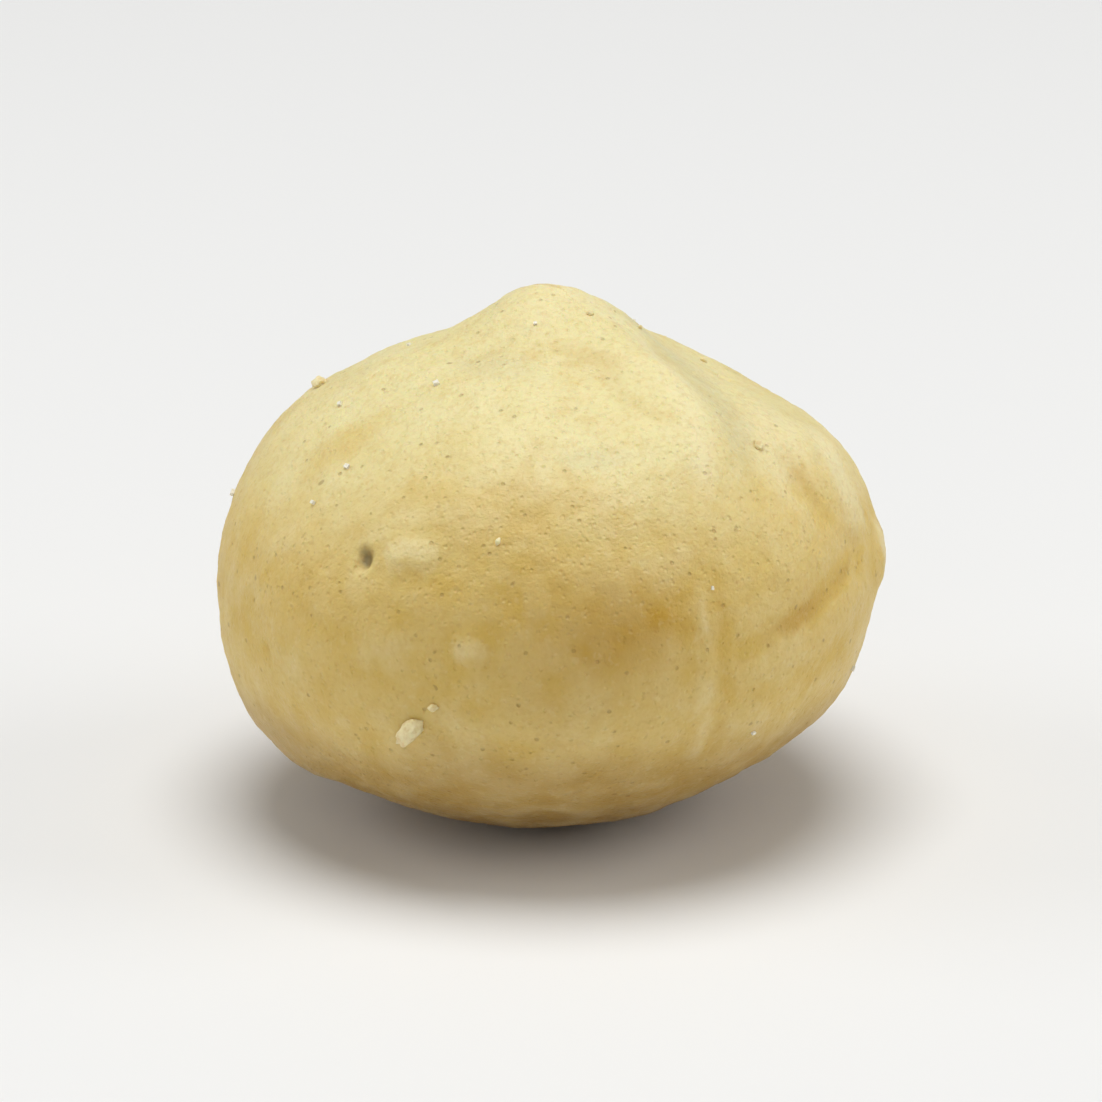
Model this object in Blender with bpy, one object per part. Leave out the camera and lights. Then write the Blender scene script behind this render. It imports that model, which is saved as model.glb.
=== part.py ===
"""Shelled macadamia kernel: one lumpy, slightly flattened ball that rests on a small flat spot.

Frame: +Z up, -Y towards the viewer, +X to the viewer's right. The origin is on the surface that the
kernel rests on, under the middle of its outline. Directions on the kernel are given as (azimuth,
elevation) in degrees from its middle: azimuth 0 is +X and -90 is the front, elevation 90 is the top.
"""

import math

import bmesh
import bpy
from mathutils import Vector

MM = 0.001

# Driving dimensions of the whole kernel
WIDTH = 18.0 * MM
DEPTH = 17.2 * MM
HEIGHT = 14.2 * MM
FLAT_SPOT_DEPTH = 0.12 * MM  # how much of the round underside the flat spot takes away

# Each side of the ball's starting cube is divided into this many squares
SQUARES_PER_SIDE = 24

# A side of the body a little squarer than an ellipsoid: 2 is an ellipsoid, more is squarer
SQUARENESS = 2.08

# Broad swellings (+) and flattened places (-): direction, reach in degrees, height
SWELLINGS = {
    "tip": ((92, 79), 25, 0.92 * MM),
    "left_cheek": ((-176, -14), 62, 0.85 * MM),
    "lower_left_corner": ((-172, -30), 26, 0.24 * MM),
    "lower_right_flat": ((-42, -38), 48, -0.30 * MM),
    "right_shoulder": ((2, 24), 30, 0.36 * MM),
    "upper_right_flat": ((14, 50), 31, -0.62 * MM),
    "upper_left_swell": ((172, 40), 30, 0.20 * MM),
    "front_cheek": ((-104, 2), 50, 0.22 * MM),
    "back_cheek": ((62, -8), 46, 0.42 * MM),
    "back_left_flat": ((128, 6), 42, -0.36 * MM),
    "back_low_flat": ((88, -42), 30, -0.20 * MM),
}

# Small marks in the same terms
MARKS = {
    "side_nodule": ((-4, 2.5), 9.0, 0.28 * MM),
    "nodule_hollow": ((-22, 20), 11, -0.10 * MM),
    "brow_dimple": ((-72, 57), 15, -0.14 * MM),
    "back_dimple": ((118, 34), 14, -0.16 * MM),
    "scar_dimple": ((-158, -46), 13, -0.12 * MM),
}

# Long ridges (+) and valleys (-) that fade out at both ends: ends, reach in degrees, height
FOLDS = {
    "shoulder_ridge": ((40, 80), (-50, 36), 10.0, 0.26 * MM),
    "shoulder_valley": ((12, 72), (-38, 26), 11.5, -0.30 * MM),
    "back_ridge": ((96, 58), (70, 2), 12.0, 0.16 * MM),
}


def toward(azimuth, elevation):
    """Unit vector in a direction given in degrees."""
    around, up = math.radians(azimuth), math.radians(elevation)
    return Vector((math.cos(around) * math.cos(up), math.sin(around) * math.cos(up), math.sin(up)))


def fading(angle, reach):
    """1 at angle 0, falling smoothly to 0 at reach, both in degrees."""
    share = min(angle / reach, 1.0)
    return (1.0 - share * share) ** 2


def angle_between(first, second):
    return math.degrees(first.angle(second))


def fold_share(direction, start, end, reach):
    """How much of a fold's height is felt in a direction: 1 half-way along it, 0 past its ends and sides."""
    chord = end - start
    along = (direction - start).dot(chord) / chord.length_squared
    along = max(0.0, min(1.0, along))
    from_middle = abs(2.0 * along - 1.0)
    sideways = angle_between(direction, start + chord * along)
    return fading(sideways, reach) * (1.0 - from_middle**3)


def relief(direction):
    """Height of all the swellings, marks and folds in one direction, in metres."""
    height = 0.0
    for middle, reach, rise in (*SWELLINGS.values(), *MARKS.values()):
        height += rise * fading(angle_between(direction, toward(*middle)), reach)
    for start, end, reach, rise in FOLDS.values():
        height += rise * fold_share(direction, toward(*start), toward(*end), reach)
    return height


def body_radius(direction):
    """Distance from the middle to the squared ellipsoid in one direction."""
    half_sizes = (WIDTH / 2, DEPTH / 2, HEIGHT / 2)
    total = sum(abs(part / half) ** SQUARENESS for part, half in zip(direction, half_sizes))
    return total ** (-1 / SQUARENESS)


def ball_of_squares(squares):
    """A cube cut into a grid of squares on each side, for the ball to be made from."""
    mesh = bmesh.new()
    bmesh.ops.create_cube(mesh, size=2.0)
    bmesh.ops.subdivide_edges(mesh, edges=mesh.edges[:], cuts=squares - 1, use_grid_fill=True)
    return mesh


def even_direction(corner):
    """Direction of a grid point on the cube, spread so that the squares stay nearly equal on the ball."""
    return Vector([math.tan(part * math.pi / 4) for part in corner]).normalized()


def box_of(mesh):
    """Lowest and highest corner of the mesh."""
    places = [vert.co for vert in mesh.verts]
    low = Vector([min(place[axis] for place in places) for axis in range(3)])
    high = Vector([max(place[axis] for place in places) for axis in range(3)])
    return low, high


def fit_to_size(mesh):
    """Stretches the lumpy ball to its real size, with the origin under the middle of its outline."""
    low, high = box_of(mesh)
    size = high - low
    target = Vector((WIDTH, DEPTH, HEIGHT + FLAT_SPOT_DEPTH))
    for vert in mesh.verts:
        share = [(vert.co[axis] - low[axis]) / size[axis] for axis in range(3)]
        vert.co.x = (share[0] - 0.5) * target.x
        vert.co.y = (share[1] - 0.5) * target.y
        vert.co.z = share[2] * target.z - FLAT_SPOT_DEPTH


def cut_flat_spot(mesh):
    """Slices off the underside at z = 0 and closes it with one flat face."""
    cut = bmesh.ops.bisect_plane(
        mesh,
        geom=mesh.verts[:] + mesh.edges[:] + mesh.faces[:],
        dist=1e-7,
        plane_co=(0, 0, 0),
        plane_no=(0, 0, -1),
        clear_outer=True,
    )
    rim = [item for item in cut["geom_cut"] if isinstance(item, bmesh.types.BMEdge)]
    bmesh.ops.edgenet_fill(mesh, edges=rim)
    bmesh.ops.recalc_face_normals(mesh, faces=mesh.faces[:])


def kernel_mesh():
    mesh = ball_of_squares(SQUARES_PER_SIDE)
    for vert in mesh.verts:
        direction = even_direction(vert.co)
        vert.co = direction * (body_radius(direction) + relief(direction))
    fit_to_size(mesh)
    cut_flat_spot(mesh)
    data = bpy.data.meshes.new("macadamia_kernel")
    mesh.to_mesh(data)
    mesh.free()
    data.shade_smooth()
    return data


def kernel_material():
    """Roasted nut flesh: creamy gold with a dull, slightly oily surface."""
    material = bpy.data.materials.new("roasted_kernel")
    material.use_nodes = True
    shader = material.node_tree.nodes["Principled BSDF"]
    shader.inputs["Base Color"].default_value = (0.72, 0.54, 0.24, 1.0)
    shader.inputs["Roughness"].default_value = 0.5
    shader.inputs["Metallic"].default_value = 0.0
    return material


def main():
    for old in list(bpy.data.objects):
        bpy.data.objects.remove(old)
    kernel = bpy.data.objects.new("macadamia_kernel", kernel_mesh())
    kernel.data.materials.append(kernel_material())
    bpy.context.scene.collection.objects.link(kernel)


main()
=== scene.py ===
import math
import random

import bmesh
import bpy
import numpy as np
from mathutils import Matrix, Vector
from mathutils.kdtree import KDTree


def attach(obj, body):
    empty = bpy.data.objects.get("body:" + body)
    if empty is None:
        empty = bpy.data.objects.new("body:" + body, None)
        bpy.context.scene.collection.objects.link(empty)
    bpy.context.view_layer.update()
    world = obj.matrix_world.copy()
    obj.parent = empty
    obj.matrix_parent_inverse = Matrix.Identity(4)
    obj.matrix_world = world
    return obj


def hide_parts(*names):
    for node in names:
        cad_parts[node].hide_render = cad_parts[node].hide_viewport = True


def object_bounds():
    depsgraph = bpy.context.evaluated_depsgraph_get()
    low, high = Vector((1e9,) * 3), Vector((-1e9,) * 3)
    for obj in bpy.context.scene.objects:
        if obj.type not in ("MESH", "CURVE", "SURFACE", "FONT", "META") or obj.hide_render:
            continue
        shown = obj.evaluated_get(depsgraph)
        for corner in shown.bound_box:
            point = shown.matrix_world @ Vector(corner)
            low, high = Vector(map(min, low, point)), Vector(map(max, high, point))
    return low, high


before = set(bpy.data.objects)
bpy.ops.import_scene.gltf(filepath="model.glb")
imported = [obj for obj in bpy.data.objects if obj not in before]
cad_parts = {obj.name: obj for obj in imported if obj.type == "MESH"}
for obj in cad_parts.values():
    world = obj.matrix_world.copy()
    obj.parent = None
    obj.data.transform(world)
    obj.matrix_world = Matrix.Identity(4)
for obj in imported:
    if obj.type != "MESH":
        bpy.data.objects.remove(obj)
cadLow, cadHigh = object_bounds()
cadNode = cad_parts["macadamia_kernel"]
cadMiddle = (cadLow + cadHigh) / 2
mm = 0.001
outside = 50 * mm  # a distance well outside the kernel
meanRadius = 8 * mm
print("frame loaded:", [round(side / mm, 2) for side in cadHigh - cadLow], "mm")


def onlyActive(piece):
    bpy.ops.object.select_all(action="DESELECT")
    piece.select_set(True)
    bpy.context.view_layer.objects.active = piece


def applyModifier(piece, kind, **values):
    onlyActive(piece)
    modifier = piece.modifiers.new(kind.lower(), kind)
    for name, value in values.items():
        setattr(modifier, name, value)
    bpy.ops.object.modifier_apply(modifier=modifier.name)


def subdivide(piece, levels):
    applyModifier(piece, "SUBSURF", levels=levels, render_levels=levels)


def pointsOf(piece):  # the places of all its points, one row each
    points = np.empty(len(piece.data.vertices) * 3)
    piece.data.vertices.foreach_get("co", points)
    return points.reshape(-1, 3)


# A unit vector from the kernel's middle, in degrees: azimuth -90 is the front, elevation 90 the top
def towards(azimuth, elevation):
    around, up = math.radians(azimuth), math.radians(elevation)
    return Vector((math.cos(around) * math.cos(up), math.sin(around) * math.cos(up), math.sin(up)))


# Where a line from the middle leaves the piece, and the surface's normal there
def surfaceAt(piece, direction):
    hit, place, normal, face = piece.ray_cast(cadMiddle + direction * outside, -direction)
    return place, normal


# Places on the surface along a row of (azimuth, elevation), about step apart
def spreadAlong(piece, turns, step):
    corners = [towards(*turn) for turn in turns]
    places = []
    for start, end in zip(corners, corners[1:]):
        count = max(2, int(start.angle(end) * meanRadius / step))
        places += [surfaceAt(piece, start.slerp(end, part / count))[0] for part in range(count)]
    places.append(surfaceAt(piece, corners[-1])[0])
    return places


def selectNear(piece, places, reach):
    bpy.ops.object.mode_set(mode="EDIT")
    bpy.ops.mesh.select_mode(type="VERT")
    bpy.ops.mesh.select_all(action="DESELECT")
    cage = bmesh.from_edit_mesh(piece.data)
    cage.verts.ensure_lookup_table()
    tree = KDTree(len(cage.verts))
    for point in cage.verts:
        tree.insert(point.co, point.index)
    tree.balance()
    for place in places:
        cage.verts[tree.find(place)[1]].select = True  # at least the nearest one
        for spot, index, distance in tree.find_range(place, reach):
            cage.verts[index].select = True
    cage.select_flush_mode()
    bmesh.update_edit_mesh(piece.data)


def press(piece, stroke):  # one stroke on the surface: rise above 0 swells it, below 0 dents it
    places = spreadAlong(piece, stroke["along"], 0.3 * stroke["reach"])
    selectNear(piece, places, 0.25 * stroke["reach"])
    bpy.ops.transform.shrink_fatten(
        value=stroke["rise"],
        use_proportional_edit=True,
        proportional_edit_falloff="SMOOTH",
        proportional_size=stroke["reach"],
    )
    bpy.ops.object.mode_set(mode="OBJECT")


def roughen(piece, name, size, height, depth):  # lumps all over, size wide and height high
    texture = bpy.data.textures.new(name, "CLOUDS")
    texture.noise_basis = "ORIGINAL_PERLIN"
    texture.noise_scale = size
    texture.noise_depth = depth
    applyModifier(
        piece, "DISPLACE", texture=texture, texture_coords="LOCAL", mid_level=0.5, strength=height,
    )


seamPath = [
    (84, 80), (19, 76), (-20, 65), (-43, 50), (-50, 38),
    (-58, 24), (-62, 12), (-61, -5), (-60, -22), (-56, -42),
]
backSeamPath = [(84, 80), (112, 66), (122, 45), (126, 15), (122, -15), (114, -44)]
creasePath = [(-51, -1), (-44, 1.5), (-37, 1.2), (-30, 4), (-22, 4.6), (-17, 7.5)]
scarPlace = (-158, -50)  # where the kernel was joined to its shell, low on its left

kernel = {
    "halvings": 5,  # of the starting cube's sides
    "smoothing": {"factor": 0.5, "iterations": 4},
    "lumps": {  # width, height, levels of detail
        "swelling": (4.0 * mm, 0.22 * mm, 1),
        "unevenness": (1.5 * mm, 0.13 * mm, 2),
        "pebbles": (0.60 * mm, 0.07 * mm, 1),
        "grain": (0.30 * mm, 0.035 * mm, 1),
    },
    "below": 0.02 * mm,  # how far the foot reaches under the floor before it is flattened
    "footUpTo": 0.03 * mm,  # what is lower than this is pressed flat
    "swells": [  # broad shapes, pressed while the mesh is coarse
        {"along": [(34, 80), (-14, 67), (-42, 51), (-52, 36)], "reach": 2.3 * mm, "rise": 0.10 * mm},
        {"along": [(-2, 62), (-22, 54), (-34, 43)], "reach": 1.8 * mm, "rise": 0.06 * mm},
        {"along": [(62, 73), (36, 76)], "reach": 1.8 * mm, "rise": -0.13 * mm},
        {"along": [(140, 74), (118, 76)], "reach": 2.2 * mm, "rise": 0.16 * mm},
        {"along": [(16, 26), (34, 29), (46, 38)], "reach": 3.2 * mm, "rise": -0.16 * mm},
        {"along": [(171, 18), (178, 4)], "reach": 3.6 * mm, "rise": 0.20 * mm},
        {"along": [(-170, -28), (-166, -30)], "reach": 3.6 * mm, "rise": 0.22 * mm},
        {"along": [(-4, -8), (-8, -20)], "reach": 3.6 * mm, "rise": 0.20 * mm},
        {"along": [(-72, 57)], "reach": 2.6 * mm, "rise": -0.10 * mm},
        {"along": [(-140, 44)], "reach": 3.0 * mm, "rise": -0.10 * mm},
        {"along": [(-128, -18)], "reach": 3.2 * mm, "rise": 0.09 * mm},
        {"along": [(-70, -28)], "reach": 3.0 * mm, "rise": -0.08 * mm},
        {"along": [scarPlace], "reach": 3.0 * mm, "rise": -0.14 * mm},
    ],
    "folds": [  # ridges, grooves and dents
        {"along": [(-62, 9), (-61, -22)], "reach": 0.55 * mm, "rise": 0.025 * mm},
        {"along": [(-58, 8), (-57, -20)], "reach": 0.6 * mm, "rise": -0.035 * mm},
        {"along": backSeamPath[1:], "reach": 0.8 * mm, "rise": -0.07 * mm},
        {"along": [(turn - 5, up) for turn, up in backSeamPath[1:]], "reach": 1.0 * mm, "rise": 0.05 * mm},
        {"along": creasePath, "reach": 0.75 * mm, "rise": -0.10 * mm},
        {"along": [(-50, -4.5), (-38, -3), (-26, -1)], "reach": 0.9 * mm, "rise": 0.06 * mm},
        {"along": [(-24, 27), (-27, 23), (-25, 19)], "reach": 0.75 * mm, "rise": -0.12 * mm},
        {"along": [(-19, 28), (-20, 22), (-17, 17)], "reach": 0.9 * mm, "rise": 0.07 * mm},
        {"along": [(-6, 1), (-4, 4)], "reach": 0.9 * mm, "rise": 0.15 * mm},
        {"along": [(-1, 0), (2, 2)], "reach": 0.7 * mm, "rise": 0.06 * mm},
        {"along": [(-115, 17.8), (-118, 17.8), (-121, 17.0)], "reach": 0.55 * mm, "rise": 0.115 * mm},
        {"along": [(-124.5, 16)], "reach": 0.5 * mm, "rise": -0.06 * mm},
        {"along": [(-105, 2)], "reach": 0.5 * mm, "rise": 0.08 * mm},
        {"along": [(-93, 12)], "reach": 0.6 * mm, "rise": 0.04 * mm},
        {"along": [(-84, 38), (-74, 36)], "reach": 0.9 * mm, "rise": -0.05 * mm},
        {"along": [(150, 22), (142, 12), (146, 0)], "reach": 0.9 * mm, "rise": -0.09 * mm},
        {"along": [(66, 30), (80, 24)], "reach": 1.1 * mm, "rise": -0.10 * mm},
        {"along": [(34, -8), (28, -22)], "reach": 0.8 * mm, "rise": -0.08 * mm},
        {"along": [(52, 8), (60, -2), (56, -10)], "reach": 0.8 * mm, "rise": 0.06 * mm},
    ],
    "marks": [  # the smallest shapes, pressed in the finest mesh
        {"along": [(-127.3, 15.2), (-127.7, 13.8)], "reach": 0.34 * mm, "rise": -0.24 * mm},
        {"along": [(96, 20)], "reach": 0.36 * mm, "rise": -0.18 * mm},
        {"along": [(12, 44)], "reach": 0.30 * mm, "rise": -0.12 * mm},
    ],
    "dimples": {"seed": 11, "count": 46, "reach": (0.8 * mm, 2.0 * mm), "rise": (-0.085 * mm, 0.06 * mm)},
    "nicks": {"seed": 9, "count": 12, "reach": (0.22 * mm, 0.42 * mm), "rise": (-0.09 * mm, -0.03 * mm)},
    "tipLines": {"seed": 8, "count": 13, "reach": 0.5 * mm, "rise": -0.022 * mm},
    "scarNubs": {
        "seed": 5, "count": 16, "around": scarPlace, "within": 12, "reach": 0.5 * mm, "rise": 0.07 * mm,
    },
}


def scattered(seed, count, reach, rise):  # strokes spread by chance all over the kernel
    chance = random.Random(seed)
    strokes = []
    for index in range(count):
        up = math.degrees(math.asin(chance.uniform(-0.92, 0.97)))
        strokes.append({
            "along": [(chance.uniform(-180, 180), up)],
            "reach": chance.uniform(*reach),
            "rise": chance.uniform(*rise),
        })
    return strokes


def linesFromTip(seed, count, reach, rise):  # faint lines that run down from the tip
    chance = random.Random(seed)
    strokes = []
    for index in range(count):
        turn = 360 * (index + chance.uniform(-0.3, 0.3)) / count
        length, lean = chance.uniform(16, 34), chance.uniform(-8, 8)
        strokes.append({"along": [(turn, 72), (turn + lean, 72 - length)], "reach": reach, "rise": rise})
    return strokes


def nubsAround(seed, count, around, within, reach, rise):  # small bumps and pits in a rough patch
    chance = random.Random(seed)
    strokes = []
    for index in range(count):
        turn, away = chance.uniform(0, math.tau), within * math.sqrt(chance.random())
        up = around[1] + away * math.sin(turn)
        along = around[0] + away * math.cos(turn) / math.cos(math.radians(up))
        strokes.append({"along": [(along, up)], "reach": reach, "rise": rise * chance.choice((-1, 1))})
    return strokes


# The distance of every point from a path, in mm: above 0 on its right as it goes down
def distanceFrom(piece, turns):
    path = np.array([place[:] for place in spreadAlong(piece, turns, 0.10 * mm)])
    points = pointsOf(piece)
    nearest = np.zeros(len(points), int)
    least = np.full(len(points), np.inf)
    for index, place in enumerate(path):
        away = ((points - place) ** 2).sum(axis=1)
        closer = away < least
        least[closer], nearest[closer] = away[closer], index
    ahead = np.gradient(path, axis=0)[nearest]
    outward = points - np.array(cadMiddle)
    side = (np.cross(ahead, outward) * (points - path[nearest])).sum(axis=1)
    return np.where(side < 0, 1, -1) * np.sqrt(least) / mm


def paintValue(piece, name, values):  # a number on every point that the material can read
    attribute = piece.data.attributes.new(name, "FLOAT", "POINT")
    attribute.data.foreach_set("value", values.astype(np.float32))


def paintHollowShade(piece, name, blur):  # how enclosed every point is by the shape around it, which the material turns into painted shade in hollows and painted highlight on ridges
    shade = piece.data.color_attributes.new(name, "FLOAT_COLOR", "POINT")
    piece.data.color_attributes.active_color = shade
    onlyActive(piece)
    bpy.ops.paint.vertex_color_dirt(
        blur_strength=1.0, blur_iterations=blur, dirt_angle=0, clean_angle=math.pi,
    )


def fitToFrame(piece):  # gives the pressed shape the CAD box's exact width, depth and height again
    points = pointsOf(piece)
    low, high = Vector(points.min(axis=0)), Vector(points.max(axis=0))
    shift = ((cadLow + cadHigh - low - high) / 2).xy.to_3d()
    shift.z = -low.z
    bpy.ops.object.mode_set(mode="EDIT")
    bpy.ops.mesh.select_all(action="SELECT")
    bpy.ops.transform.translate(value=shift)
    bpy.ops.transform.resize(
        value=(
            (cadHigh.x - cadLow.x) / (high.x - low.x),
            (cadHigh.y - cadLow.y) / (high.y - low.y),
            (cadHigh.z + kernel["below"]) / (high.z - low.z),
        ),
        center_override=(cadMiddle.x, cadMiddle.y, 0),
    )
    bpy.ops.transform.translate(value=(0, 0, -kernel["below"]))
    bpy.ops.object.mode_set(mode="OBJECT")


def flattenFoot(piece):  # the small flat spot it rests on
    bpy.ops.object.mode_set(mode="EDIT")
    bpy.ops.mesh.select_all(action="DESELECT")
    cage = bmesh.from_edit_mesh(piece.data)
    for point in cage.verts:
        point.select = point.co.z < kernel["footUpTo"]
    cage.select_flush_mode()
    bmesh.update_edit_mesh(piece.data)
    bpy.ops.transform.resize(value=(1, 1, 0), center_override=(0, 0, 0))
    bpy.ops.object.mode_set(mode="OBJECT")


def makeKernel():
    bpy.ops.object.select_all(action="DESELECT")
    bpy.ops.mesh.primitive_cube_add(size=cadHigh.x - cadLow.x, location=cadMiddle)
    piece = bpy.context.object
    piece.name = piece.data.name = "kernel"
    subdivide(piece, kernel["halvings"])
    bpy.ops.object.mode_set(mode="EDIT")
    bpy.ops.mesh.select_all(action="SELECT")
    bpy.ops.transform.tosphere(value=1.0)
    bpy.ops.object.mode_set(mode="OBJECT")
    bpy.ops.object.transform_apply(location=True, rotation=True, scale=True)

    bpy.ops.object.select_all(action="DESELECT")  # a merged copy of the CAD shape to shrink on to
    guide = cadNode.copy()
    guide.data = cadNode.data.copy()
    bpy.context.scene.collection.objects.link(guide)
    onlyActive(guide)
    bpy.ops.object.mode_set(mode="EDIT")
    bpy.ops.mesh.select_all(action="SELECT")
    bpy.ops.mesh.remove_doubles(threshold=0.00001)
    bpy.ops.object.mode_set(mode="OBJECT")
    applyModifier(piece, "SHRINKWRAP", target=guide, wrap_method="TARGET_PROJECT")
    bpy.data.objects.remove(guide)
    applyModifier(piece, "SMOOTH", **kernel["smoothing"])
    for stroke in kernel["swells"]:
        press(piece, stroke)
    roughen(piece, "swelling", *kernel["lumps"]["swelling"])
    subdivide(piece, 1)
    strokes = kernel["folds"] + scattered(**kernel["dimples"])
    strokes += linesFromTip(**kernel["tipLines"]) + nubsAround(**kernel["scarNubs"])
    for stroke in strokes:
        press(piece, stroke)
    roughen(piece, "unevenness", *kernel["lumps"]["unevenness"])
    paintHollowShade(piece, "hollow", 2)
    fitToFrame(piece)
    subdivide(piece, 1)
    for stroke in kernel["marks"] + scattered(**kernel["nicks"]):
        press(piece, stroke)
    roughen(piece, "pebbles", *kernel["lumps"]["pebbles"])
    roughen(piece, "grain", *kernel["lumps"]["grain"])
    flattenFoot(piece)
    bpy.ops.object.shade_smooth()
    paintValue(piece, "seam", distanceFrom(piece, seamPath))
    paintValue(piece, "backSeam", distanceFrom(piece, backSeamPath))
    return piece


class Value:  # a socket that can stand in a sum
    def __init__(self, sheet, socket):
        self.sheet, self.socket = sheet, socket

    def math(self, operation, first, second=0.0):
        return self.sheet.node("ShaderNodeMath", {"operation": operation}, {0: first, 1: second})

    def __add__(self, other):
        return self.math("ADD", self, other)

    def __sub__(self, other):
        return self.math("SUBTRACT", self, other)

    def __rsub__(self, other):
        return self.math("SUBTRACT", other, self)

    def __mul__(self, other):
        return self.math("MULTIPLY", self, other)

    def __truediv__(self, other):
        return self.math("DIVIDE", self, other)

    def __abs__(self):
        return self.math("ABSOLUTE", self)

    __radd__ = __add__
    __rmul__ = __mul__


class Sheet:  # a material's node sheet
    def __init__(self, name):
        self.material = bpy.data.materials.new(name)
        self.material.use_nodes = True
        self.tree = self.material.node_tree
        self.shader = self.tree.nodes["Principled BSDF"]
        self.count = 0

    def node(self, kind, settings=None, inputs=None, output=0):
        made = self.tree.nodes.new(kind)
        made.location = (-220 * (1 + self.count // 6), 200 * (self.count % 6))
        self.count += 1
        for name, value in (settings or {}).items():
            setattr(made, name, value)
        for name, value in (inputs or {}).items():
            self.feed(made.inputs[name], value)
        return Value(self, made.outputs[output])

    def feed(self, socket, value):
        if isinstance(value, Value):
            self.tree.links.new(value.socket, socket)
        else:
            socket.default_value = value

    def finish(self, inputs):  # the shader's own sockets
        for name, value in inputs.items():
            self.feed(self.shader.inputs[name], value)
        return self.material

    def place(self):  # where on the piece, in mm
        own = self.node("ShaderNodeTexCoord", output="Object")
        return self.node("ShaderNodeVectorMath", {"operation": "SCALE"}, {0: own, "Scale": 1000.0})

    def wandering(self, place, size, by):  # the place pushed about, so that edges on it aren't even
        push = self.node("ShaderNodeVectorMath", {"operation": "SUBTRACT"}, {
            0: self.noise(place, size, 3.0, output=1), 1: (0.5, 0.5, 0.5),
        })
        return self.node("ShaderNodeVectorMath", {"operation": "MULTIPLY_ADD"}, {
            0: push, 1: (by, by, by), 2: place,
        })

    def noise(self, place, size, detail=2.0, roughness=0.5, distortion=0.0, output=0):  # size in mm
        return self.node("ShaderNodeTexNoise", None, {
            "Vector": place, "Scale": 1 / size,
            "Detail": detail, "Roughness": roughness, "Distortion": distortion,
        }, output)

    def cells(self, place, size):  # distance from the nearest of many scattered points, size mm apart
        return self.node("ShaderNodeTexVoronoi", {"feature": "F1"}, {
            "Vector": place, "Scale": 1 / size,
        }, "Distance")

    def painted(self, name):
        return self.node("ShaderNodeAttribute", {"attribute_name": name}, output="Fac")

    def between(self, value, low, high):  # 0 below low, 1 above high, smooth between
        return self.node("ShaderNodeMapRange", {"interpolation_type": "SMOOTHSTEP"}, {
            "Value": value, "From Min": low, "From Max": high, "To Min": 0.0, "To Max": 1.0,
        })

    def blend(self, share, first, second):  # sockets 6 and 7 are a Mix node's two colours
        return self.node("ShaderNodeMix", {"data_type": "RGBA"}, {"Factor": share, 6: first, 7: second}, 2)

    def mottled(self, place, layers, color, shades):  # a colour with patches laid over it
        for shade, size, detail, roughness, distortion, start, full, strength in layers:
            patches = self.between(self.noise(place, size, detail, roughness, distortion), start, full)
            color = self.blend(patches * strength, color, shades[shade])
        return color

    def spot(self, place, middle, turn, size):  # 1 inside an egg-shaped spot, 0 at its edge and beyond
        local = self.node("ShaderNodeMapping", {"vector_type": "TEXTURE"}, {
            "Vector": place, "Location": middle, "Rotation": turn, "Scale": size,
        })
        away = self.node("ShaderNodeVectorMath", {"operation": "LENGTH"}, {0: local}, "Value")
        return self.between(1 - away, 0.0, 0.75)

    def bump(self, height, strength, distance):
        return self.node("ShaderNodeBump", None, {
            "Height": height, "Strength": strength, "Distance": distance,
        })

    def line(self, distance, middle, width):  # 1 along a line beside a path, 0 at its edges
        return self.between(1 - abs(distance - middle) / width, 0.0, 1.0)


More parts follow.
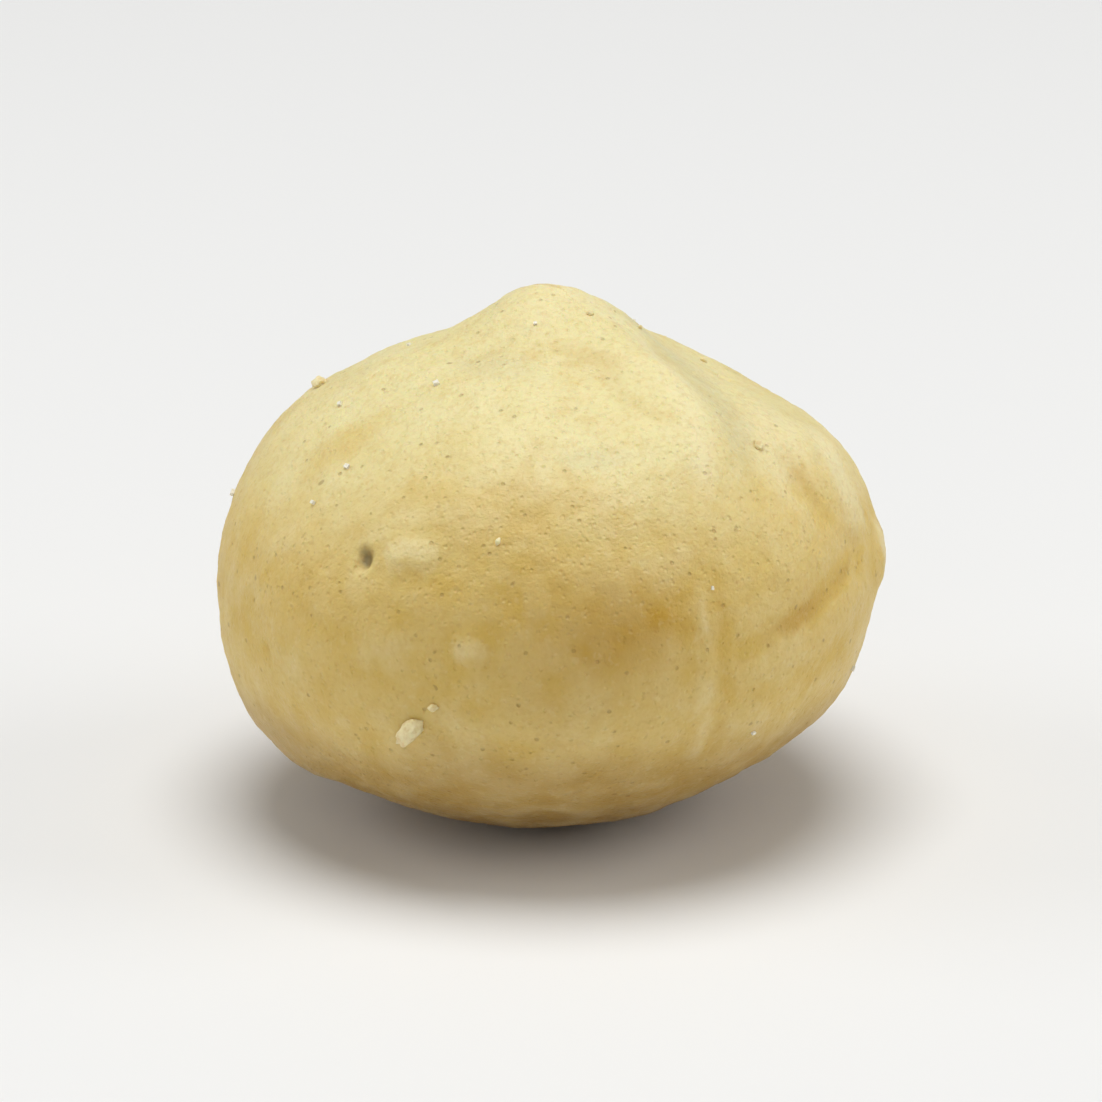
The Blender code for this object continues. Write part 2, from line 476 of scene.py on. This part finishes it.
kernelFinish = {
    "cream": (0.83, 0.735, 0.37, 1),
    "gold": (0.69, 0.475, 0.105, 1),
    "tan": (0.73, 0.53, 0.165, 1),
    "pale": (0.90, 0.81, 0.49, 1),
    # grey: a colour used only for painted shade
    "greyShade": (0.68, 0.625, 0.37, 1),
    # the kernel's roasted colour, also used for painted shade in hollows, in the dent and along the crease
    "roastAndShade": (0.58, 0.35, 0.060, 1),
    # painted contact shade: darker brown near the floor
    "contactShade": (0.46, 0.28, 0.060, 1),
    "toast": (0.52, 0.285, 0.005, 1),
    "brown": (0.30, 0.165, 0.040, 1),
    "dark": (0.15, 0.09, 0.015, 1),
    "sheenAndShadeDown": (12.4, 8.0),  # heights in mm between which cream turns gold: partly the kernel's own paler tip, partly painted sheen on the top and painted shade lower down
    "tanDown": (6.5, 3.0),
    # heights in mm between which the painted contact shade comes in, and lower still the painted shade of
    # the sole
    "contactShadeDown": (5.1, 3.1),
    "soleShadeDown": (3.0, 0.6),
    "shares": {"tan": 0.75, "contactShade": 0.90, "brown": 0.85, "hollow": 0.16},  # strongest mix of each: of painted contact shade near the floor, of the sole's painted shade (brown), and of painted shade in hollows with painted highlight on ridges
    "mottles": [  # colour, size in mm, detail, roughness, distortion, where it starts and is full, strength
        ("roastAndShade", 2.6, 5.0, 0.60, 0.3, 0.50, 0.74, 0.34),
        ("pale", 1.7, 4.0, 0.55, 0.0, 0.46, 0.74, 0.22),
        ("gold", 0.75, 4.0, 0.60, 0.0, 0.52, 0.72, 0.22),
    ],
    "flecks": [  # the same for what is finer
        ("roastAndShade", 0.16, 2.0, 0.50, 0.0, 0.45, 0.72, 0.20),
        ("pale", 0.24, 2.0, 0.50, 0.2, 0.56, 0.74, 0.12),
    ],
    "roughness": 0.46,
    "bumpHeight": 0.06 * mm,
    "spots": {  # colour, (azimuth, elevation), turn in the surface, half sizes in mm, strength
        "glow": ("roastAndShade", (-82, 5), 0, (5.2, 3.2), 0.40),
        "blotch": ("toast", (-77, 5.5), 5, (2.5, 1.5), 0.66),
        "blotchCore": ("toast", (-73, 6.5), 0, (1.1, 0.6), 0.45),
        "blotchFoot": ("toast", (-81, 2.5), 0, (0.8, 1.0), 0.50),
        "leftTone": ("gold", (-98, 27), 0, (2.2, 1.0), 0.40),
        # painted highlight: paler on the right shoulder and along its edge
        "shoulderHighlight": ("pale", (-24, 32), 40, (2.6, 1.8), 0.55),
        "shoulderEdgeHighlight": ("pale", (-12, 20), 70, (2.6, 1.0), 0.60),
        # painted shade: grey in the shallow groove high on the front, and below the tip
        "browShade": ("greyShade", (-79, 39), 0, (1.4, 0.6), 0.32),
        "tipShade": ("greyShade", (-124, 68), 0, (2.4, 0.9), 0.30),
        "cheekTone": ("gold", (-152, 33), -20, (1.1, 1.9), 0.50),
        "kneeTone": ("gold", (-118, 30), 10, (1.2, 0.7), 0.40),
        # dark in the pit: partly its own brown, partly painted shade
        "pit": ("dark", (-127.5, 14.5), 12, (0.26, 0.44), 0.84),
        "paleBump": ("pale", (-118, 17.6), 0, (1.05, 0.42), 0.28),
        "smallBump": ("pale", (-105, 2), 0, (0.55, 0.45), 0.28),
        # painted shade in the dent; along the crease, roasted colour together with painted shade
        "dentShade": ("roastAndShade", (-25, 23), 15, (0.4, 0.8), 0.36),
        "crease": ("roastAndShade", (-40, 1.6), 12, (1.8, 0.42), 0.85),
        "creaseEnd": ("roastAndShade", (-25, 4.4), 20, (1.2, 0.30), 0.55),
        # painted highlight on the nodule
        "noduleHighlight": ("pale", (-5, 3), 20, (0.6, 0.9), 0.55),
        "scar": ("roastAndShade", scarPlace, 10, (2.3, 2.0), 0.70),
        "scarCore": ("brown", scarPlace, 10, (1.3, 1.1), 0.45),
        # dark in the small pits on the back and top: partly their own brown, partly painted shade
        "backPit": ("dark", (96, 20), 0, (0.22, 0.30), 0.90),
        "topPit": ("brown", (12, 44), 0, (0.24, 0.20), 0.80),
        "backToast": ("roastAndShade", (140, -6), 20, (4.2, 3.0), 0.50),
        "backToastCore": ("brown", (136, -9), 35, (1.5, 0.9), 0.28),
        "sideToast": ("roastAndShade", (30, -18), -15, (3.6, 2.4), 0.45),
        "backLowToast": ("roastAndShade", (78, -30), 10, (3.8, 2.2), 0.42),
    },
}


# A place, and the turn that lays X across it and Z out of the surface
def surfaceTurn(piece, turns, twist):
    place, normal = surfaceAt(piece, towards(*turns))
    across = Vector((0, 0, 1)).cross(normal).normalized()
    up = normal.cross(across)
    angle = math.radians(twist)
    first = across * math.cos(angle) + up * math.sin(angle)
    second = normal.cross(first)
    return place, Matrix((first, second, normal)).transposed()


def kernelMaterial(piece):
    sheet = Sheet("roastedKernel")
    finish = kernelFinish
    place = sheet.place()
    loose = sheet.wandering(place, 0.9, 0.7)
    up = sheet.node("ShaderNodeSeparateXYZ", None, {0: loose}, "Z")
    broad = sheet.noise(place, 4.0, 3.0) - 0.5
    shares = finish["shares"]

    def level(name, swing):  # 1 above the first height of a pair, 0 below the second, with a wavy edge
        return sheet.between(up + broad * swing, finish[name][1], finish[name][0])

    # cream above turning gold below: partly the kernel's own colour, partly painted sheen on the top and
    # painted shade lower down
    color = sheet.blend(level("sheenAndShadeDown", 5.0), finish["gold"], finish["cream"])
    color = sheet.blend((1 - level("tanDown", 4.0)) * shares["tan"], color, finish["tan"])
    color = sheet.mottled(loose, finish["mottles"], color, finish)
    for shade, turns, twist, size, strength in finish["spots"].values():
        middle, turn = surfaceTurn(piece, turns, twist)
        mask = sheet.spot(loose, [part / mm for part in middle], turn.to_euler(), (*size, 1.5))
        color = sheet.blend(mask * strength, color, finish[shade])
    # painted contact shade: darker brown towards the floor, darkest on the sole
    color = sheet.blend((1 - level("contactShadeDown", 2.0)) * shares["contactShade"], color, finish["contactShade"])
    soleShade = 1 - sheet.between(up, finish["soleShadeDown"][1], finish["soleShadeDown"][0])
    color = sheet.blend(soleShade * shares["brown"], color, finish["brown"])

    broken = sheet.between(sheet.noise(place, 1.1, 2.0), 0.35, 0.60)
    high = sheet.between(up, 10.4, 11.6)
    middle = sheet.between(up, 3.0, 5.0) * (1 - sheet.between(up, 7.5, 9.5))
    # above 10.4 mm: painted highlight on the ridge below the tip and painted shade in the valley beside it;
    # lower down, a pale line on the front seam's ridge and a darker one in its groove, and a darker line in
    # the back seam's groove
    for path, reach, shade, distance, width, strength in (
        ("seam", high, "pale", 0.10, 0.75, 0.45),
        ("seam", high, "greyShade", 1.50, 1.10, 0.52),
        ("seam", broken * middle, "pale", -0.10, 0.26, 0.28),
        ("seam", broken * middle, "roastAndShade", 0.46, 0.28, 0.38),
        ("backSeam", broken, "roastAndShade", 0.0, 0.22, 0.50),
    ):
        line = sheet.line(sheet.painted(path), distance, width)
        color = sheet.blend(line * reach * strength, color, finish[shade])

    # painted shade: darker in the hollows of the surface; painted highlight: paler on its ridges
    hollow = sheet.painted("hollow")
    color = sheet.blend((1 - sheet.between(hollow, 0.01, 0.06)) * shares["hollow"], color, finish["roastAndShade"])
    color = sheet.blend(sheet.between(hollow, 0.06, 0.16) * shares["hollow"], color, finish["pale"])
    color = sheet.mottled(place, finish["flecks"], color, finish)
    pinholes = 1 - sheet.between(sheet.cells(place, 0.55), 0.05, 0.13)
    color = sheet.blend(pinholes * 0.30, color, finish["brown"])
    specks = 1 - sheet.between(sheet.cells(loose, 1.6), 0.030, 0.065)
    color = sheet.blend(specks * 0.5, color, finish["brown"])

    grain = sheet.noise(place, 0.10, 3.0, 0.6)
    pores = sheet.between(sheet.cells(place, 0.22), 0.0, 0.35)
    height = grain * 0.8 + pores * 0.6 + sheet.noise(place, 0.35, 2.0) * 1.1 - pinholes * 0.8
    bump = sheet.bump(height, 0.8, finish["bumpHeight"])
    oily = sheet.between(sheet.noise(place, 1.8, 3.0), 0.35, 0.65)
    return sheet.finish({
        "Base Color": color,
        "Roughness": finish["roughness"] + oily * 0.10 - grain * 0.06,
        "Normal": bump,
        "Subsurface Weight": 0.35,
        "Subsurface Radius": (1.0, 0.6, 0.22),
        "Subsurface Scale": 0.0009,
        "Specular IOR Level": 0.42,
    })


kernelPiece = makeKernel()
kernelPiece.data.materials.clear()
kernelPiece.data.materials.append(kernelMaterial(kernelPiece))
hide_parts("macadamia_kernel")
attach(kernelPiece, "root")
print("kernel made:", len(kernelPiece.data.polygons), "faces")


crumbs = {  # broken bits of kernel that cling to it
    "shapes": 4,
    "fineness": 3,  # subdivisions of each round start
    "lumps": (0.36, 0.50, 2),  # width and height on a bit 1 across, levels of detail
    "flat": 0.49,  # how far from the middle of a bit its broken flat is
    "apart": 3.1,  # each bit is shaped in its own stretch of the lumps
    "sunk": 0.30,  # share of its thickness that is below the surface
    "placed": [  # (azimuth, elevation), turn in the surface, length, width and thickness in mm
        ((-115.5, -14.5), 48, (1.00, 0.46, 0.50)),
        ((-111, -9.5), 20, (0.28, 0.20, 0.18)),
        ((-30, 33), 70, (0.34, 0.24, 0.20)),
        ((168, 34), 15, (0.62, 0.40, 0.30)),
        ((104, 46), 120, (0.52, 0.30, 0.26)),
        ((62, 14), 35, (0.70, 0.38, 0.32)),
        ((20, -2), 100, (0.44, 0.34, 0.26)),
        ((146, -22), 60, (0.50, 0.36, 0.26)),
    ],
    "scattered": {"seed": 23, "count": 9, "length": (0.18, 0.34)},
    "color": (0.87, 0.77, 0.45, 1),
    "shadow": (0.74, 0.58, 0.28, 1),
    "roughness": 0.62,
    "bumpHeight": 0.02 * mm,
}

saltGrains = {
    "shapes": 3,
    "worn": 0.05,  # width of the worn edges on a grain 1 across
    "rim": 0.16,  # from an edge to the hollow in a side
    "step": 0.05,  # the hollow's slope and depth
    "corner": 0.52,  # how far from the middle the broken corner is
    "sunk": 0.22,
    "scattered": {"seed": 31, "count": 14, "length": (0.10, 0.17)},
    "color": (0.88, 0.83, 0.66, 1),
    "edge": (0.94, 0.91, 0.80, 1),
    "roughness": 0.28,
    "bumpHeight": 0.008 * mm,
}


def byChance(seed, count, length):  # (azimuth, elevation), turn and sizes in mm, mostly on the upper side
    chance = random.Random(seed)
    made = []
    for index in range(count):
        up = math.degrees(math.asin(1 - 1.45 * chance.random() ** 1.3))
        long = chance.uniform(*length)
        sizes = (long, long * chance.uniform(0.6, 1.0), long * chance.uniform(0.6, 0.9))
        made.append(((chance.uniform(-180, 180), up), chance.uniform(0, 180), sizes))
    return made


def breakOff(piece, middle, normal, distance):  # cuts away what is past a plane, and closes the cut
    bpy.ops.object.mode_set(mode="EDIT")
    bpy.ops.mesh.select_all(action="SELECT")
    bpy.ops.mesh.bisect(
        plane_co=middle + normal * distance,
        plane_no=normal,
        use_fill=True,
        clear_outer=True,
        threshold=0.0001,
    )
    bpy.ops.object.mode_set(mode="OBJECT")


def crumbShape(number):  # a lumpy bit about 1 across, with a broken flat
    bpy.ops.object.select_all(action="DESELECT")
    bpy.ops.mesh.primitive_ico_sphere_add(subdivisions=crumbs["fineness"], radius=0.5)
    piece = bpy.context.object
    middle = Vector((number * crumbs["apart"], 0, 0))
    piece.location = middle
    bpy.ops.object.transform_apply(location=True, rotation=False, scale=False)
    roughen(piece, "crumbLumps", *crumbs["lumps"])
    chance = random.Random(number + 20)
    normal = Vector([chance.uniform(-1, 1) for axis in range(3)]).normalized()
    breakOff(piece, middle, normal, crumbs["flat"])
    bpy.ops.object.mode_set(mode="EDIT")
    bpy.ops.mesh.select_all(action="SELECT")
    bpy.ops.transform.translate(value=-middle)
    bpy.ops.object.mode_set(mode="OBJECT")
    bpy.ops.object.shade_smooth_by_angle(angle=math.radians(40))
    return piece


def grainShape(number):  # a salt crystal about 1 across: a worn cube with a hollow in each side
    bpy.ops.object.select_all(action="DESELECT")
    bpy.ops.mesh.primitive_cube_add(size=0.9)
    piece = bpy.context.object
    bpy.ops.object.mode_set(mode="EDIT")
    bpy.ops.mesh.select_mode(type="FACE")
    bpy.ops.mesh.select_all(action="SELECT")
    bpy.ops.mesh.inset(thickness=saltGrains["rim"], depth=0, use_individual=True)
    bpy.ops.mesh.inset(thickness=saltGrains["step"], depth=-saltGrains["step"], use_individual=True)
    bpy.ops.mesh.select_all(action="DESELECT")
    bpy.ops.object.mode_set(mode="OBJECT")
    chance = random.Random(40 + number)
    normal = Vector([chance.choice((-1, 1)) * chance.uniform(0.5, 1) for axis in range(3)]).normalized()
    breakOff(piece, Vector(), normal, saltGrains["corner"])
    sharp = math.radians(50)
    applyModifier(
        piece, "BEVEL", width=saltGrains["worn"], segments=1, limit_method="ANGLE", angle_limit=sharp,
    )
    bpy.ops.object.shade_smooth_by_angle(angle=math.radians(30))
    return piece


def strew(name, shapes, places, sunk):  # copies of the shapes set into the kernel, joined as one piece
    copies = []
    for index, (turns, twist, sizes) in enumerate(places):
        place, turn = surfaceTurn(kernelPiece, turns, twist)
        copy = shapes[index % len(shapes)].copy()
        copy.data = copy.data.copy()
        bpy.context.scene.collection.objects.link(copy)
        lift = turn @ Vector((0, 0, (0.5 - sunk) * sizes[2] * mm))
        scale = Matrix.Diagonal([size * mm for size in sizes]).to_4x4()
        copy.matrix_world = Matrix.Translation(place + lift) @ turn.to_4x4() @ scale
        copies.append(copy)
    for shape in shapes:
        bpy.data.objects.remove(shape)
    bpy.context.view_layer.update()
    bpy.ops.object.select_all(action="DESELECT")
    for copy in copies:
        copy.select_set(True)
    bpy.context.view_layer.objects.active = copies[0]
    bpy.ops.object.join()
    bpy.ops.object.transform_apply(location=True, rotation=True, scale=True)
    piece = bpy.context.object
    piece.name = piece.data.name = name
    return piece


def crumbMaterial():
    sheet = Sheet("kernelCrumb")
    place = sheet.place()
    tone = sheet.between(sheet.noise(place, 0.22, 3.0, 0.6), 0.35, 0.70)
    grain = sheet.noise(place, 0.05, 3.0, 0.6)
    bump = sheet.bump(grain, 0.6, crumbs["bumpHeight"])
    return sheet.finish({
        "Base Color": sheet.blend(tone, crumbs["color"], crumbs["shadow"]),
        "Roughness": crumbs["roughness"] + grain * 0.1,
        "Normal": bump,
        "Subsurface Weight": 0.3,
        "Subsurface Radius": (1.0, 0.7, 0.35),
        "Subsurface Scale": 0.0002,
    })


def saltMaterial():
    sheet = Sheet("saltCrystal")
    place = sheet.place()
    frost = sheet.between(sheet.noise(place, 0.06, 3.0, 0.6), 0.40, 0.65)
    bump = sheet.bump(sheet.noise(place, 0.03, 2.0), 0.4, saltGrains["bumpHeight"])
    return sheet.finish({
        "Base Color": sheet.blend(frost, saltGrains["color"], saltGrains["edge"]),
        "Roughness": saltGrains["roughness"] + frost * 0.25,
        "Normal": bump,
        "Subsurface Weight": 0.5,
        "Subsurface Radius": (1.0, 1.0, 0.95),
        "Subsurface Scale": 0.00015,
    })


crumbShapes = [crumbShape(number) for number in range(crumbs["shapes"])]
crumbPlaces = crumbs["placed"] + byChance(**crumbs["scattered"])
crumbPiece = strew("crumbs", crumbShapes, crumbPlaces, crumbs["sunk"])
crumbPiece.data.materials.append(crumbMaterial())
grainShapes = [grainShape(number) for number in range(saltGrains["shapes"])]
saltPiece = strew("salt_grains", grainShapes, byChance(**saltGrains["scattered"]), saltGrains["sunk"])
saltPiece.data.materials.append(saltMaterial())
for piece in (crumbPiece, saltPiece):
    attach(piece, "root")
    print(piece.name, "made:", len(piece.data.polygons), "faces")


studio = {
    "floor": (0.84, 0.84, 0.83, 1),
    "floorRoughness": 0.7,
    "sky": (1.0, 1.0, 1.0, 1),
    "skyStrength": 0.21,
    "overhead": {"size": 0.24, "place": (0.0, 0.0, 0.36), "watts": 0.91},
    "left": {"size": 0.26, "place": (-0.34, 0.02, 0.16), "watts": 0.33},
    "right": {"size": 0.26, "place": (0.34, 0.0, 0.18), "watts": 0.42},
    "front": {"size": 0.30, "place": (-0.06, -0.36, 0.22), "watts": 0.125},
    "cameraDegreesUp": 20,
    "cameraDistance": 0.165,
    "lens": 200,
}


def makeFloor():
    bpy.ops.object.select_all(action="DESELECT")
    bpy.ops.mesh.primitive_plane_add(size=4.0, location=(0, 0, 0))
    floor = bpy.context.object
    floor.name = floor.data.name = "floor"
    floor.data.materials.append(Sheet("paleFloor").finish({
        "Base Color": studio["floor"],
        "Roughness": studio["floorRoughness"],
    }))


def makeLight(name, place, size, watts):
    bpy.ops.object.select_all(action="DESELECT")
    bpy.ops.object.light_add(type="AREA", location=place)
    light = bpy.context.object
    light.name = name
    light.data.shape = "DISK"
    light.data.size = size
    light.data.energy = watts
    light.rotation_euler = (cadMiddle - Vector(place)).to_track_quat("-Z", "Y").to_euler()


def makeCamera():
    up = math.radians(studio["cameraDegreesUp"])
    place = cadMiddle + studio["cameraDistance"] * Vector((0, -math.cos(up), math.sin(up)))
    bpy.ops.object.camera_add(location=place)
    camera = bpy.context.object
    camera.rotation_euler = (cadMiddle - place).to_track_quat("-Z", "Y").to_euler()
    camera.data.lens = studio["lens"]
    camera.data.clip_start = 0.01
    bpy.context.scene.camera = camera


makeFloor()
for lightName in ("overhead", "left", "right", "front"):
    makeLight(lightName, **studio[lightName])
makeCamera()
world = bpy.data.worlds.new("studio")
bpy.context.scene.world = world
world.use_nodes = True
world.node_tree.nodes["Background"].inputs["Color"].default_value = studio["sky"]
world.node_tree.nodes["Background"].inputs["Strength"].default_value = studio["skyStrength"]
bpy.context.scene.view_settings.view_transform = "Standard"
print("studio made")
